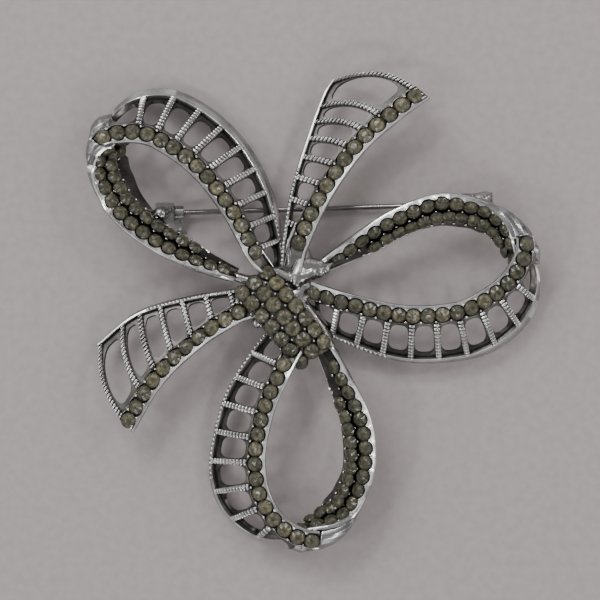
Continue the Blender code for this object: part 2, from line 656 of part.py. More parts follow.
# ---- solder under the hinge and the catch ----------------------------------------------
plate_top = HINGE.z + PLATE_TOP + GAP
hinge_pad = solid("hinge_solder", *dome((20.5, 13.9), 2.4, 1.7, plate_top, 6.3, PIN_TILT,
                                        crown=0.7), SOLDER)
catch_pad = solid("catch_solder", *dome((-19.5, 12.2), 2.2, 1.7, plate_top, 5.3,
                                        math.radians(35), crown=0.7), SOLDER)
right_cut = solid("right_cut", *cover(right, 0.6, 0.8, 0.2), collection="cutters")
left_cut = solid("left_cut", *cover(left, 0.6, 0.9, 0.16, steps=19), collection="cutters")
left_cut.location = Vector((0.12, 0.16, 0.0)) * MM
boolean(hinge_pad, right_cut, "DIFFERENCE")
boolean(catch_pad, left_cut, "DIFFERENCE")
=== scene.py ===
"""Ribbon-bow brooch: the fine metalwork, the cut stones and the findings, round the frame."""
import math
import random

import bmesh
import bpy
import numpy as np
from mathutils import Matrix, Vector


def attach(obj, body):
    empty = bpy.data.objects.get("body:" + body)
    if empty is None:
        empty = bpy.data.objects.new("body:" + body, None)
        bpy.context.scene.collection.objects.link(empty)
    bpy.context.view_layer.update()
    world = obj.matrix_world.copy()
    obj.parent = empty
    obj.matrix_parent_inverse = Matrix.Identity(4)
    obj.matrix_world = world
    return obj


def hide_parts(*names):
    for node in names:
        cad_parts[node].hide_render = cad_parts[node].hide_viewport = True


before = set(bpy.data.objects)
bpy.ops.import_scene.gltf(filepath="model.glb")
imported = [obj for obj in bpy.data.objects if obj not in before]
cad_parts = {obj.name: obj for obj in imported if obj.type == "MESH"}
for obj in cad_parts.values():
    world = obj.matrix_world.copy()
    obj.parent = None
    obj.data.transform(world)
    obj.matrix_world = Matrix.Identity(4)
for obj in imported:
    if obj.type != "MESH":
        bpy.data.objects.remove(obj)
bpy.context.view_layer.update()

random.seed(11)
MM = 0.001
OFFSET = np.array((0.29, 0.15, 0.0))

# ---- dimensions in millimetres, as in the frame -------------------------------------------
HALF_WALL = 0.50          # half the thickness of a ribbon's wall
RIM = 0.28                # width of the rim beside the first row of stones
ROW = 2.02                # width of the channel that one row lies in
FRONT_ROW = RIM + 0.03 + ROW / 2
SECOND_ROW = FRONT_ROW + 1.80
STONE_R = 0.98            # radius of a stone's girdle
PITCH = 1.86              # spacing of the stones along a row
STONE_SEAT = 0.30         # height of a girdle over the middle of the wall
PAVE_STEP = 0.38          # how much higher the inner pave row sits
RAIL_EDGE = 2.58          # where the rail between stones and windows ends
RAIL_TOP = 0.54           # height of the outer rail over the middle of the wall
RUNG = 0.82               # width of a bar at its beads
BEAD = 0.50               # spacing of the milgrain along a bar
# heights over the back of the brooch: the front edge at a root and along a loop, and the
# back edge of a loop and of its pave half
ROOT_FRONT, LOOP_FRONT, LOOP_BACK, PAVE_BACK = 6.4, 7.4, 2.9, 3.9

LEFT_LOOP = [
    (-6.8, 4.5, 20, 2.6, 0.0), (-8.5, 6.5, 22, 4.2, 0.1), (-11.7, 12.1, 27, 6.1, 0.2),
    (-15.6, 17.0, 39, 7.1, 0.2), (-20.3, 20.3, 64, 7.0, 0.4), (-22.7, 20.9, 84, 5.6, 1.0),
    (-24.8, 20.8, 120, 2.0, 2.8), (-25.8, 20.7, 160, -1.0, 2.9), (-26.8, 20.2, 178, -2.8, 2.7),
    (-27.6, 19.3, 183, -3.8, 2.2), (-28.0, 16.8, 190, -5.0, 1.3), (-26.0, 12.2, 218, -5.0, 0.3),
    (-21.8, 8.4, 232, -4.1, 0.0), (-16.3, 5.5, 243, -3.0, 0.0), (-10.0, 3.6, 249, -1.4, 0.0),
]
RIGHT_LOOP = [
    (-0.8, 3.8, -82, 4.8, 0.0), (4.5, 2.2, -103, 5.7, 0.2), (11.2, 0.8, -93, 6.7, 0.2),
    (17.5, 1.2, -76, 6.9, 0.3), (20.4, 2.5, -62, 6.7, 0.5), (22.8, 4.3, -42, 5.4, 1.0),
    (24.4, 6.5, -17, 2.6, 2.4), (24.9, 8.5, 8, -0.8, 2.7), (24.3, 10.6, 27, -2.4, 2.2),
    (22.9, 12.4, 48, -3.1, 1.5), (20.6, 13.9, 65, -3.8, 0.8), (15.3, 14.7, 95, -4.1, 0.0),
    (9.3, 12.5, 120, -3.5, 0.0), (5.4, 10.0, 127, -2.9, 0.0), (0.6, 6.3, 132, -1.3, 0.0),
]
BOTTOM_LOOP = [
    (-1.5, -5.1, 144, 5.0, 0.0), (-2.8, -7.5, 156, 5.5, 0.2), (-4.9, -12.0, 165, 6.3, 0.2),
    (-6.1, -17.3, 175, 6.7, 0.2), (-6.1, -20.1, 184, 6.9, 0.3), (-5.6, -22.6, 197, 6.4, 0.6),
    (-4.3, -24.9, 216, 4.6, 1.3), (-2.5, -26.5, 240, 1.8, 2.7), (-0.3, -27.3, 262, -0.4, 2.7),
    (1.8, -27.2, 285, -2.2, 2.6), (3.8, -26.4, 303, -3.0, 1.8), (5.4, -25.0, 320, -3.5, 1.0),
    (7.2, -21.0, 345, -4.1, 0.1), (7.6, -17.0, 362, -4.2, 0.0), (6.7, -12.6, 380, -3.9, 0.0),
    (4.4, -8.0, 389, -2.8, 0.0), (2.2, -4.2, 390, -2.0, 0.0),
]
TOP_TAIL = [
    (-1.8, 4.6, 158, 2.8, 0), (-0.9, 7.9, 159, 3.4, 0), (2.0, 14.0, 162, 5.2, 0),
    (6.3, 20.0, 164, 7.5, 0), (11.2, 24.3, 166, 10.6, 0), (14.3, 26.5, 170, 12.4, 0),
]
LEFT_TAIL = [
    (-7.1, -0.7, 104, 3.8, 0), (-9.5, -1.6, 104, 4.5, 0), (-14.1, -4.5, 105, 6.6, 0),
    (-19.1, -9.3, 108, 9.8, 0), (-22.7, -15.2, 111, 12.2, 0),
]
KNOT = [
    (2.1, -4.0, 220, 5.8, 0), (0.3, -1.6, 220, 5.9, 0), (-1.9, 1.1, 220, 5.9, 0),
    (-4.2, 3.8, 220, 5.9, 0), (-6.1, 5.9, 220, 5.8, 0),
]


def smooth(x):
    x = np.clip(x, 0.0, 1.0)
    return x * x * (3 - 2 * x)


class Ribbon:
    """The frame's strip: u along it, s across it from the front edge, n off its middle."""

    def __init__(self, stations, front, back, curl=1.5, hand=-1, bow=0.0, arch=0.0, knots=None):
        self.rows = np.array(stations, float)
        self.front, self.back, self.curl = front, back, curl
        self.hand, self.bow, self.arch = hand, bow, arch
        count = len(stations)
        mids = self._place(self.rows, np.arange(count) / (count - 1), np.full(count, 0.5))
        run = np.concatenate([[0], np.cumsum(np.linalg.norm(np.diff(mids, axis=0), axis=1))])
        self.length = run[-1]
        self.knots = run / run[-1] if knots is None else knots
        k = self.knots
        lo, hi = np.maximum(np.arange(count) - 1, 0), np.minimum(np.arange(count) + 1, count - 1)
        self.slopes = (self.rows[hi] - self.rows[lo]) / (k[hi] - k[lo])[:, None]

    def _rows(self, u):
        k = self.knots
        i = np.clip(np.searchsorted(k, np.maximum(u, 0), side="right") - 1, 0, len(k) - 2)
        h = (k[i + 1] - k[i])[:, None]
        t = ((u - k[i]) / h[:, 0])[:, None]
        return ((2 * t ** 3 - 3 * t ** 2 + 1) * self.rows[i]
                + (t ** 3 - 2 * t ** 2 + t) * h * self.slopes[i]
                + (3 * t ** 2 - 2 * t ** 3) * self.rows[i + 1]
                + (t ** 3 - t ** 2) * h * self.slopes[i + 1])

    def _place(self, rows, u, v):
        x, y, heading, reach, swell = rows.T
        out = reach * v + 4 * swell * v * (1 - v)
        ahead = self.bow * smooth(1.6 * u - 0.6) * 4 * v * (1 - v) * self.hand
        ca, sa = np.cos(np.radians(heading)), np.sin(np.radians(heading))
        high, low = self.front(u), self.back(u)
        z = high + (low - high) * np.maximum(v, 0) ** self.curl + 4 * self.arch * v * (1 - v)
        return np.stack([x + out * ca + ahead * sa, y + out * sa - ahead * ca, z], axis=-1)

    def point(self, u, v):
        return self._place(self._rows(u), u, v)

    def width(self, u):
        u = np.atleast_1d(np.asarray(u, float))
        rows, lengths = self._rows(u), np.zeros(len(u))
        last = self._place(rows, u, np.zeros(len(u)))
        for i in range(1, 25):
            here = self._place(rows, u, np.full(len(u), i / 24))
            lengths += np.linalg.norm(here - last, axis=1)
            last = here
        return lengths

    def at(self, u, s, n=0.0):
        """Points a distance s across the strip and n off it, all in millimetres."""
        u, s, n = np.broadcast_arrays(*(np.atleast_1d(np.asarray(a, float)) for a in (u, s, n)))
        shape = u.shape
        u, s, n = u.ravel(), s.ravel(), n.ravel()
        rows = self._rows(u)
        last = self._place(rows, u, np.zeros(len(u)))
        run, v, done = np.zeros(len(u)), np.zeros(len(u)), np.zeros(len(u), bool)
        steps = 32
        for i in range(1, steps + 1):
            here = self._place(rows, u, np.full(len(u), i / steps))
            step = np.linalg.norm(here - last, axis=1)
            hit = ~done & ((run + step >= s) | (i == steps))
            share = (s - run) / np.maximum(step, 1e-9)
            v[hit] = ((i - 1 + share) / steps)[hit]
            done |= hit
            run, last = run + step, here
        past = np.where(done & (s <= run), 0.0, np.maximum(s - run, 0.0))
        v = np.clip(v, -0.05, 1.0)
        du = self.point(np.minimum(u + 0.002, 1), v) - self.point(np.maximum(u - 0.002, 0), v)
        dv = self.point(u, v + 0.01) - self.point(u, np.maximum(v - 0.01, 0))
        normal = np.cross(du, dv) * self.hand
        normal /= np.linalg.norm(normal, axis=1)[:, None]
        turn = np.radians(rows[:, 2])
        away = np.stack([np.cos(turn), np.sin(turn), np.full(len(u), -0.45)], axis=1)
        spot = self.point(u, v) + normal * n[:, None] + away * past[:, None]
        return spot.reshape(*shape, 3)

    def scale(self, u, s):
        """Millimetres along the strip for a unit of u, on the line s."""
        return np.linalg.norm(self.at(u + 0.001, s) - self.at(u - 0.001, s), axis=-1) / 0.002

    def along(self, s, start, stop, count):
        fine = np.linspace(start, stop, 161)
        pts = self.at(fine, s)
        run = np.concatenate([[0], np.cumsum(np.linalg.norm(np.diff(pts, axis=0), axis=1))])
        return np.interp(np.linspace(0, run[-1], count), run, fine)


def loop_heights(front_tip, back_tip):
    def front(u):
        rise = (LOOP_FRONT - ROOT_FRONT) * smooth(12 * np.minimum(u, 1 - u))
        wave = np.sin(math.pi * np.clip(u, 0, 1))
        return ROOT_FRONT + rise + (front_tip - LOOP_FRONT) * wave ** 1.5

    def back(u):
        level = LOOP_BACK + (PAVE_BACK - LOOP_BACK) * smooth((u - 0.45) / 0.25)
        wave = np.sin(math.pi * np.clip(u / 0.95, 0, 1))
        return level + (back_tip - LOOP_BACK) * wave ** 3
    return front, back


left = Ribbon(LEFT_LOOP, *loop_heights(6.8, 2.0))
right = Ribbon(RIGHT_LOOP, *loop_heights(7.0, 2.2))
bottom = Ribbon(BOTTOM_LOOP, *loop_heights(5.9, 0.6))


def inner_layer(outer, stations, tip):
    """The pave half's own strip: it hangs inward from the same front edge round the tip."""
    rows = list(stations)
    for index, row in tip.items():
        rows[index] = row
    return Ribbon(rows, outer.front, outer.back, knots=outer.knots)


left_pave = inner_layer(left, LEFT_LOOP, {
    5: (-22.7, 20.9, 95, -0.5, 0.2), 6: (-24.8, 20.8, 115, -1.0, 0.3),
    7: (-25.8, 20.7, 140, -2.2, 0.6), 8: (-26.8, 20.2, 165, -3.3, 1.0),
    9: (-27.6, 19.3, 180, -4.1, 1.2), 10: (-28.0, 16.8, 190, -5.0, 1.1)})
right_pave = inner_layer(right, RIGHT_LOOP, {
    5: (22.8, 4.3, -42, -0.3, 0.0), 6: (24.4, 6.5, -17, -1.0, 0.2),
    7: (24.9, 8.5, 8, -1.9, 0.4), 8: (24.3, 10.6, 27, -2.8, 0.7),
    9: (22.9, 12.4, 48, -3.5, 0.8), 10: (20.6, 13.9, 65, -3.9, 0.6)})
bottom_pave = inner_layer(bottom, BOTTOM_LOOP, {
    6: (-4.3, -24.9, 216, -0.2, 0.0), 7: (-2.5, -26.5, 240, -0.6, 0.1),
    8: (-0.3, -27.3, 262, -2.0, 0.3), 9: (1.8, -27.2, 285, -3.4, 0.6),
    10: (3.8, -26.4, 303, -4.0, 0.8), 11: (5.4, -25.0, 320, -4.2, 0.6)})
top_tail = Ribbon(TOP_TAIL, lambda u: 5.2 + 0.8 * np.sin(2.6 * u), lambda u: 4.4 - 1.4 * u,
                  curl=1.2, hand=1, bow=2.3)
left_tail = Ribbon(LEFT_TAIL, lambda u: 5.2 + 0.8 * np.sin(2.6 * u), lambda u: 4.2 - 1.6 * u,
                   curl=1.2, hand=-1, bow=1.7)
knot = Ribbon(KNOT, lambda u: 4.9 + 1.2 * np.sin(math.pi * u),
              lambda u: 4.7 + 1.2 * np.sin(math.pi * u), curl=1.0, hand=1, arch=1.0)


# ---- materials ----------------------------------------------------------------------------
def new_material(name):
    mat = bpy.data.materials.new(name)
    mat.use_nodes = True
    tree = mat.node_tree
    return mat, tree, tree.nodes["Principled BSDF"]


def node(tree, kind, links=(), **values):
    made = tree.nodes.new(kind)
    for key, value in values.items():
        if isinstance(key, str) and key in made.inputs:
            made.inputs[key].default_value = value
        else:
            setattr(made, key, value)
    for key, source in links:
        tree.links.new(source, made.inputs[key])
    return made


def ramp(tree, source, stops):
    made = tree.nodes.new("ShaderNodeValToRGB")
    tree.links.new(source, made.inputs["Fac"])
    band = made.color_ramp
    while len(band.elements) < len(stops):
        band.elements.new(0.5)
    for element, (place, shade) in zip(band.elements, stops):
        element.position = place
        element.color = (*shade, 1)
    return made


def metal(name, dark, light, rough, grain=0.00025, bump=0.07, recess=0.0005):
    """Plated metal in a cloudy random tone, with painted shade: ambient occlusion darkens it toward
    black in its recesses.
    """
    mat, tree, shader = new_material(name)
    place = node(tree, "ShaderNodeTexCoord").outputs["Object"]
    cloud = node(tree, "ShaderNodeTexNoise", [("Vector", place)], Scale=420.0, Detail=5.0)
    fine = node(tree, "ShaderNodeTexNoise", [("Vector", place)], Scale=1 / grain, Detail=3.0)
    # Painted shade: where the ambient occlusion is strong, the colour is mixed toward near black.
    hollow = node(tree, "ShaderNodeAmbientOcclusion", Distance=recess, samples=8)
    occlusion_shade = ramp(tree, hollow.outputs["AO"], [(0.25, (0, 0, 0)), (0.85, (1, 1, 1))])
    tone = ramp(tree, cloud.outputs["Fac"], [(0.3, dark), (0.7, light)])
    black = node(tree, "ShaderNodeMix", data_type="RGBA")
    black.inputs["A"].default_value = (0.018, 0.017, 0.017, 1)
    tree.links.new(occlusion_shade.outputs["Color"], black.inputs["Factor"])
    tree.links.new(tone.outputs["Color"], black.inputs["B"])
    tree.links.new(black.outputs["Result"], shader.inputs["Base Color"])
    spread = node(tree, "ShaderNodeMapRange", [("Value", fine.outputs["Fac"])])
    spread.inputs["To Min"].default_value = rough * 0.75
    spread.inputs["To Max"].default_value = rough * 1.35
    tree.links.new(spread.outputs["Result"], shader.inputs["Roughness"])
    shader.inputs["Metallic"].default_value = 1.0
    lift = node(tree, "ShaderNodeBump", [("Height", fine.outputs["Fac"])], Strength=bump,
                Distance=0.00003)
    tree.links.new(lift.outputs["Normal"], shader.inputs["Normal"])
    return mat


def stone_material(name):
    """Smoky foiled glass as an opaque stone, its reflections painted: dark at girdle and culet,
    paler between, with painted glints on the facets; each stone its own tint.
    """
    mat, tree, shader = new_material(name)
    gem = node(tree, "ShaderNodeAttribute", attribute_name="gem").outputs["Vector"]
    tint = node(tree, "ShaderNodeAttribute", attribute_name="tint").outputs["Fac"]
    flat = node(tree, "ShaderNodeVectorMath", [(0, gem)], operation="MULTIPLY")
    flat.inputs[1].default_value = (0.86, 0.86, 0)
    radius = node(tree, "ShaderNodeVectorMath", [(0, flat.outputs["Vector"])],
                  operation="LENGTH").outputs["Value"]
    own = node(tree, "ShaderNodeMath", [(0, tint)], operation="MULTIPLY")
    own.inputs[1].default_value = 40.0
    cloud = node(tree, "ShaderNodeTexNoise", [("Vector", gem), ("W", own.outputs["Value"])],
                 noise_dimensions="4D", Scale=1.6, Detail=3.0)
    shard = node(tree, "ShaderNodeTexVoronoi", [("Vector", gem), ("W", own.outputs["Value"])],
                 voronoi_dimensions="4D", Scale=2.4)
    wander = node(tree, "ShaderNodeMath", [(0, cloud.outputs["Fac"]), (2, radius)],
                  operation="MULTIPLY_ADD")
    wander.inputs[1].default_value = 0.30
    # Painted reflection: the foil's light and dark rings across each stone, darkest at the girdle
    # and the culet.
    rings = ramp(tree, wander.outputs["Value"], [
        (0.14, (0.042, 0.039, 0.026)), (0.34, (0.078, 0.073, 0.048)),
        (0.70, (0.125, 0.118, 0.079)), (0.96, (0.062, 0.058, 0.039)),
        (1.00, (0.014, 0.013, 0.010))])
    # Each stone's own tint; the warm bright end paints an orange highlight on a few stones.
    tones = ramp(tree, tint, [(0.0, (0.55, 0.58, 0.56)), (0.5, (0.90, 0.90, 0.86)),
                              (0.94, (1.20, 1.16, 1.05)), (1.0, (1.25, 1.03, 0.80))])
    # Painted glints: facet flashes multiplied into the colour, up to nearly twice as bright.
    painted_glint = ramp(tree, shard.outputs["Color"], [(0.10, (0.50, 0.50, 0.50)),
                                                (0.60, (1.0, 1.0, 1.0)),
                                                (0.98, (1.90, 1.82, 1.60))])
    colour = rings.outputs["Color"]
    for other in (tones, painted_glint):
        mix = node(tree, "ShaderNodeMix", data_type="RGBA", blend_type="MULTIPLY")
        mix.inputs["Factor"].default_value = 1.0
        tree.links.new(colour, mix.inputs["A"])
        tree.links.new(other.outputs["Color"], mix.inputs["B"])
        colour = mix.outputs["Result"]
    tree.links.new(colour, shader.inputs["Base Color"])
    lift = node(tree, "ShaderNodeBump", [("Height", shard.outputs["Distance"])], Strength=0.3,
                Distance=0.00006)
    tree.links.new(lift.outputs["Normal"], shader.inputs["Normal"])
    rub = node(tree, "ShaderNodeMapRange", [("Value", cloud.outputs["Fac"])])
    rub.inputs["To Min"].default_value = 0.12
    rub.inputs["To Max"].default_value = 0.32
    tree.links.new(rub.outputs["Result"], shader.inputs["Roughness"])
    shader.inputs["IOR"].default_value = 1.5
    return mat


GUNMETAL = metal("gunmetal_casting", (0.26, 0.258, 0.26), (0.50, 0.495, 0.495), 0.24)
# A lighter copy of the casting for crests, beads and grains: rubbed polish, and a painted highlight
# where they face the light.
RUBBED_AND_HIGHLIT = metal("rubbed_and_highlit_edges", (0.46, 0.455, 0.45), (0.86, 0.85, 0.84), 0.21, recess=0.0003)
SOLDER = metal("solder", (0.30, 0.295, 0.29), (0.50, 0.49, 0.48), 0.24, grain=0.0005, bump=0.1)
FITTING = metal("fittings", (0.26, 0.25, 0.24), (0.42, 0.41, 0.40), 0.26)
WIRE = metal("pin_wire", (0.26, 0.255, 0.25), (0.42, 0.41, 0.40), 0.18, bump=0.05)
STONE = stone_material("smoky_rhinestone")
# A darker copy of the casting: painted shade on channel floors, window plates, the knot bed and the
# flanks of bars.
SHADED_METAL = metal("painted_shade_recess", (0.055, 0.052, 0.049), (0.17, 0.163, 0.156), 0.36, bump=0.6)
METALS = [GUNMETAL, RUBBED_AND_HIGHLIT, SHADED_METAL]
PLAIN, BRIGHT, DARK = 0, 1, 2      # places in METALS: plain, the lighter copy with painted highlight, the darker copy with painted shade
FACETED = 1.0             # degrees: every edge of a stone stays sharp


# ---- mesh building ------------------------------------------------------------------------
class Shape:
    """Gathers closed shells, in millimetres, into one piece."""

    def __init__(self):
        self.verts, self.faces, self.marks, self.count = [], [], [], 0
        self.notes = {}

    def add(self, verts, faces, mark=0):
        verts = np.asarray(verts, float).reshape(-1, 3)
        self.verts.append(verts)
        self.faces += [tuple(i + self.count for i in f) for f in faces]
        self.marks += [mark] * len(faces)
        self.count += len(verts)

    def sweep(self, grid, mark=0):
        """A tube through an array of closed sections."""
        n, m = grid.shape[:2]
        marks = None if isinstance(mark, int) else list(mark)
        faces = [(i * m + j, i * m + (j + 1) % m, (i + 1) * m + (j + 1) % m, (i + 1) * m + j)
                 for i in range(n - 1) for j in range(m)]
        faces += [tuple(range(m)), tuple((n - 1) * m + j for j in range(m))]
        self.add(grid, faces, mark if marks is None else 0)
        if marks is not None:
            start = len(self.marks) - len(faces)
            self.marks[start:start + (n - 1) * m] = marks * (n - 1)

    def note(self, name, values):
        """A number for every vertex, for the material to read."""
        self.notes.setdefault(name, []).append(np.asarray(values, float))

    def build(self, name, materials, body, slot, nodes=(), angle=38.0):
        mesh = bpy.data.meshes.new(name)
        verts = (np.concatenate(self.verts) + OFFSET) * MM
        mesh.from_pydata(verts.tolist(), [], self.faces)
        for mat in materials:
            mesh.materials.append(mat)
        mesh.polygons.foreach_set("material_index", self.marks)
        for key, parts in self.notes.items():
            values = np.concatenate(parts)
            kind, field = ("FLOAT", "value") if values.ndim == 1 else ("FLOAT_VECTOR", "vector")
            layer = mesh.attributes.new(key, kind, "POINT")
            layer.data.foreach_set(field, values.ravel())
        bm = bmesh.new()
        bm.from_mesh(mesh)
        bmesh.ops.recalc_face_normals(bm, faces=bm.faces)
        bm.to_mesh(mesh)
        bm.free()
        mesh.shade_smooth()
        mesh.set_sharp_from_angle(angle=math.radians(angle))
        obj = bpy.data.objects.new(name, mesh)
        bpy.context.scene.collection.objects.link(obj)
        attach(obj, body)
        if nodes:
            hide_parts(*nodes)
        return obj


def globe(rings=5, segments=10):
    verts, faces = [(0, 0, 1)], []
    for i in range(1, rings):
        a = math.pi * i / rings
        verts += [(math.sin(a) * math.cos(2 * math.pi * j / segments),
                   math.sin(a) * math.sin(2 * math.pi * j / segments), math.cos(a))
                  for j in range(segments)]
    verts.append((0, 0, -1))
    last = len(verts) - 1
    for j in range(segments):
        k = (j + 1) % segments
        faces.append((0, 1 + j, 1 + k))
        faces.append((last, last - segments + k, last - segments + j))
        for i in range(rings - 2):
            a, b = 1 + i * segments, 1 + (i + 1) * segments
            faces.append((a + j, b + j, b + k, a + k))
    return np.array(verts, float), faces


GLOBE = globe()


def chaton():
    """A round brilliant of unit girdle radius: table, stars, kites, upper girdle, pavilion."""
    verts, faces = [], []
    for i in range(8):
        a = math.pi / 4 * (i + 0.5)
        verts.append((0.40 * math.cos(a), 0.40 * math.sin(a), 0.50))
    for i in range(8):
        a = math.pi / 4 * i
        verts.append((0.72 * math.cos(a), 0.72 * math.sin(a), 0.38))
    for z in (0.06, -0.05):
        for i in range(16):
            a = math.pi / 8 * i
            verts.append((math.cos(a), math.sin(a), z))
    verts += [(0, 0, -0.75), (0, 0, 0.52)]
    for i in range(8):
        j, before = (i + 1) % 8, (i - 1) % 8
        faces += [(i, j, 49), (i, before, 8 + i)]
        g, h, k = 16 + 2 * i, 16 + (2 * i + 1) % 16, 16 + (2 * i + 2) % 16
        faces.append((i, 8 + i, h, 8 + j))
        faces.append((8 + i, g, h))
        faces.append((8 + j, h, k))
    for i in range(16):
        faces.append((16 + i, 16 + (i + 1) % 16, 32 + (i + 1) % 16, 32 + i))
    for i in range(8):
        a, b, c = 32 + 2 * i, 32 + (2 * i + 1) % 16, 32 + (2 * i + 2) % 16
        faces += [(a, b, 48), (b, c, 48)]
    return np.array(verts, float), faces


CHATON = chaton()


def seat(ribbon, u, s, n, face=1):
    """Centre and axes (along, across, out) of a spot on a ribbon."""
    here = ribbon.at(u, s, n * face)[0]
    e = ribbon.at(u + 0.003, s, n * face)[0] - ribbon.at(u - 0.003, s, n * face)[0]
    e /= np.linalg.norm(e)
    f = ribbon.at(u, s + 0.15, n * face)[0] - ribbon.at(u, s - 0.15, n * face)[0]
    out = ribbon.at(u, s, (n + 0.1) * face)[0] - here
    out /= np.linalg.norm(out)
    f = np.cross(out, e)
    return here, np.array([e, f / np.linalg.norm(f), out])


def place(shape, part, centre, axes, size, mark=0):
    verts, faces = part
    shape.add((verts * size) @ axes + centre, faces, mark)


def set_stone(shape, ribbon, u, s, face=1, size=STONE_R, height=STONE_SEAT, tint_and_shade=1.0):
    centre, axes = seat(ribbon, u, s, height, face)
    turn = Matrix.Rotation(random.uniform(0, math.pi / 4), 3, "Z")
    tip = Matrix.Rotation(math.radians(random.uniform(-5, 5)), 3, "X")
    lean = Matrix.Rotation(math.radians(random.uniform(-5, 5)), 3, "Y")
    local = np.array(lean @ tip @ turn)
    grow = size * random.uniform(0.98, 1.02)
    place(shape, (CHATON[0] @ local.T, CHATON[1]), centre, axes, grow)
    shape.note("gem", CHATON[0])
    # The scale on the tint also paints shade: a low scale keeps a stone to the dark end of the
    # tints.
    shape.note("tint", np.full(len(CHATON[0]), tint_and_shade * random.random()))


def set_bead(shape, ribbon, u, s, n, r, face=1, flat=0.8, mark=0):
    centre, axes = seat(ribbon, u, s, n, face)
    place(shape, GLOBE, centre, axes, np.array([r, r, r * flat]), mark)


def scallop(places, u, deep):
    """How far the rim reaches in between stones: none beside a stone, `deep` at a cusp."""
    index = np.interp(u, places, np.arange(len(places)), left=0, right=len(places) - 1)
    off = np.abs(index - np.round(index)) * 2
    return deep * off ** 2.6


def rim_band(shape, ribbon, us, places, edge, face=1, rows=1, top=0.52, sink=0.0):
    """Swept channel for rows of stones: a scalloped rim, its top with painted highlight, a floor
    darkened as painted shade, a low far rail.
    """
    cusp = scallop(places, us, 0.46)
    far = RIM + 0.03 + rows * ROW
    zero = np.zeros(len(us))
    inner = RIM + 0.08 + cusp
    outer = np.minimum(far - 0.02 - cusp, edge - 0.12)
    lip, bench = (0.30, -0.06) if rows == 1 else (0.46, PAVE_STEP - 0.06)
    mid = np.minimum(zero + RIM + 0.03 + ROW * (0.5 if rows == 1 else 0.98), outer - 0.2)
    # Marks: 1 takes the lighter copy as painted highlight, 2 the darker copy as painted shade.
    cols = [(zero + 0.03, -0.42, 0), (zero, 0.28, 1), (zero + 0.05, top - 0.08, 1),
            (zero + 0.13, top, 1), (inner - 0.06, top - 0.01, 1), (inner, top - 0.10, 2),
            (inner + 0.03, -0.06, 2), (mid, -0.06, 2), (mid + 0.1, bench, 2),
            (outer - 0.03, bench, 2), (outer, lip - 0.1, 1),
            (np.minimum(outer + 0.10, edge - 0.06), lip, 2 - rows % 2),
            (np.minimum(outer + 0.16, edge - 0.04), lip - 0.03, rows),
            (edge, -0.05 * rows, 0 if rows == 1 else 2), (edge, -0.40, 0),
            (edge - 0.1, -HALF_WALL, 0), (zero + 0.12, -HALF_WALL, 0)]
    s = np.stack([c[0] for c in cols], axis=1)
    n = np.stack([c[1] - sink + zero for c in cols], axis=1) * face
    shape.sweep(ribbon.at(np.repeat(us[:, None], s.shape[1], 1), s, n), [c[2] for c in cols])


def rail(shape, ribbon, us, start, stop, top):
    """The outer rail: a crest along the windows with painted highlight and a shoulder falling to
    the edge.
    """
    low, crest = -HALF_WALL, 0.30
    # The crest takes the lighter copy as painted highlight, the foot at the window the darker copy
    # as painted shade.
    cols = [(start, low, 2), (start, top - 0.12, 1), (start + 0.08, top - 0.01, 1),
            (start + crest, top, 1), (start + crest + 0.08, top - 0.08, 0),
            (np.maximum(stop - 0.22, start + crest + 0.1), top - 0.18, 0),
            (stop - 0.05, top - 0.32, 0), (stop, top - 0.56, 0), (stop, low + 0.1, 0),
            (stop - 0.08, low, 0)]
    s = np.stack([c[0] + 0 * us for c in cols], axis=1)
    n = np.stack([c[1] + 0 * us for c in cols], axis=1)
    shape.sweep(ribbon.at(np.repeat(us[:, None], s.shape[1], 1), s, n), [c[2] for c in cols])


def skin(shape, ribbon, us, start, stop, top):
    """The smooth wall that carries the ribbon round its tip."""
    share = np.linspace(0, 1, 9)
    lift = np.array([-0.36, -0.10] + [0.0] * 5 + [-0.06, -0.3])
    s = start[:, None] + (stop - start)[:, None] * np.concatenate([share, share[::-1]])
    n = np.concatenate([top[:, None] + lift, np.full((len(us), 9), -0.34)], axis=1)
    shape.sweep(ribbon.at(np.repeat(us[:, None], 18, 1), s, n))


def rung(shape, ribbon, u, start, stop, width=RUNG, low=-0.30, top=0.40):
    """A bar across a window, beaded along its top and flared into the rails."""
    length = stop - start
    count = max(3, round(length / BEAD))
    t = np.linspace(0, 1, count * 8 + 1)
    s = start + length * t
    wave = np.abs(np.sin(math.pi * count * t + random.uniform(-0.2, 0.2))) ** 0.8
    flare = 0.30 * (np.exp(-t * length / 0.2) + np.exp(-(1 - t) * length / 0.2))
    per = ribbon.scale(np.full(len(s), u), s)
    bead = width / 2 * (0.40 + 0.58 * wave)
    crest = top - 0.10 + 0.36 * wave
    foot = width / 2 + flare / 2
    # The beads on top take the lighter copy as painted highlight, the flanks toward the foot the
    # darker copy as painted shade.
    ring = [(-foot, low + 0 * s, 2), (-foot, top - 0.40 + 0 * s, 2), (-bead, top - 0.16 + 0 * s, 1),
            (-bead * 0.86, top + (crest - top) * 0.6, 1), (-bead * 0.4, crest - 0.02, 1),
            (bead * 0.4, crest - 0.02, 1), (bead * 0.86, top + (crest - top) * 0.6, 1),
            (bead, top - 0.16 + 0 * s, 2), (foot, top - 0.40 + 0 * s, 2), (foot, low + 0 * s, 2)]
    grid = [ribbon.at(u + side / per, s, level) for side, level, _ in ring]
    shape.sweep(np.stack(grid, axis=1), [c[2] for c in ring])


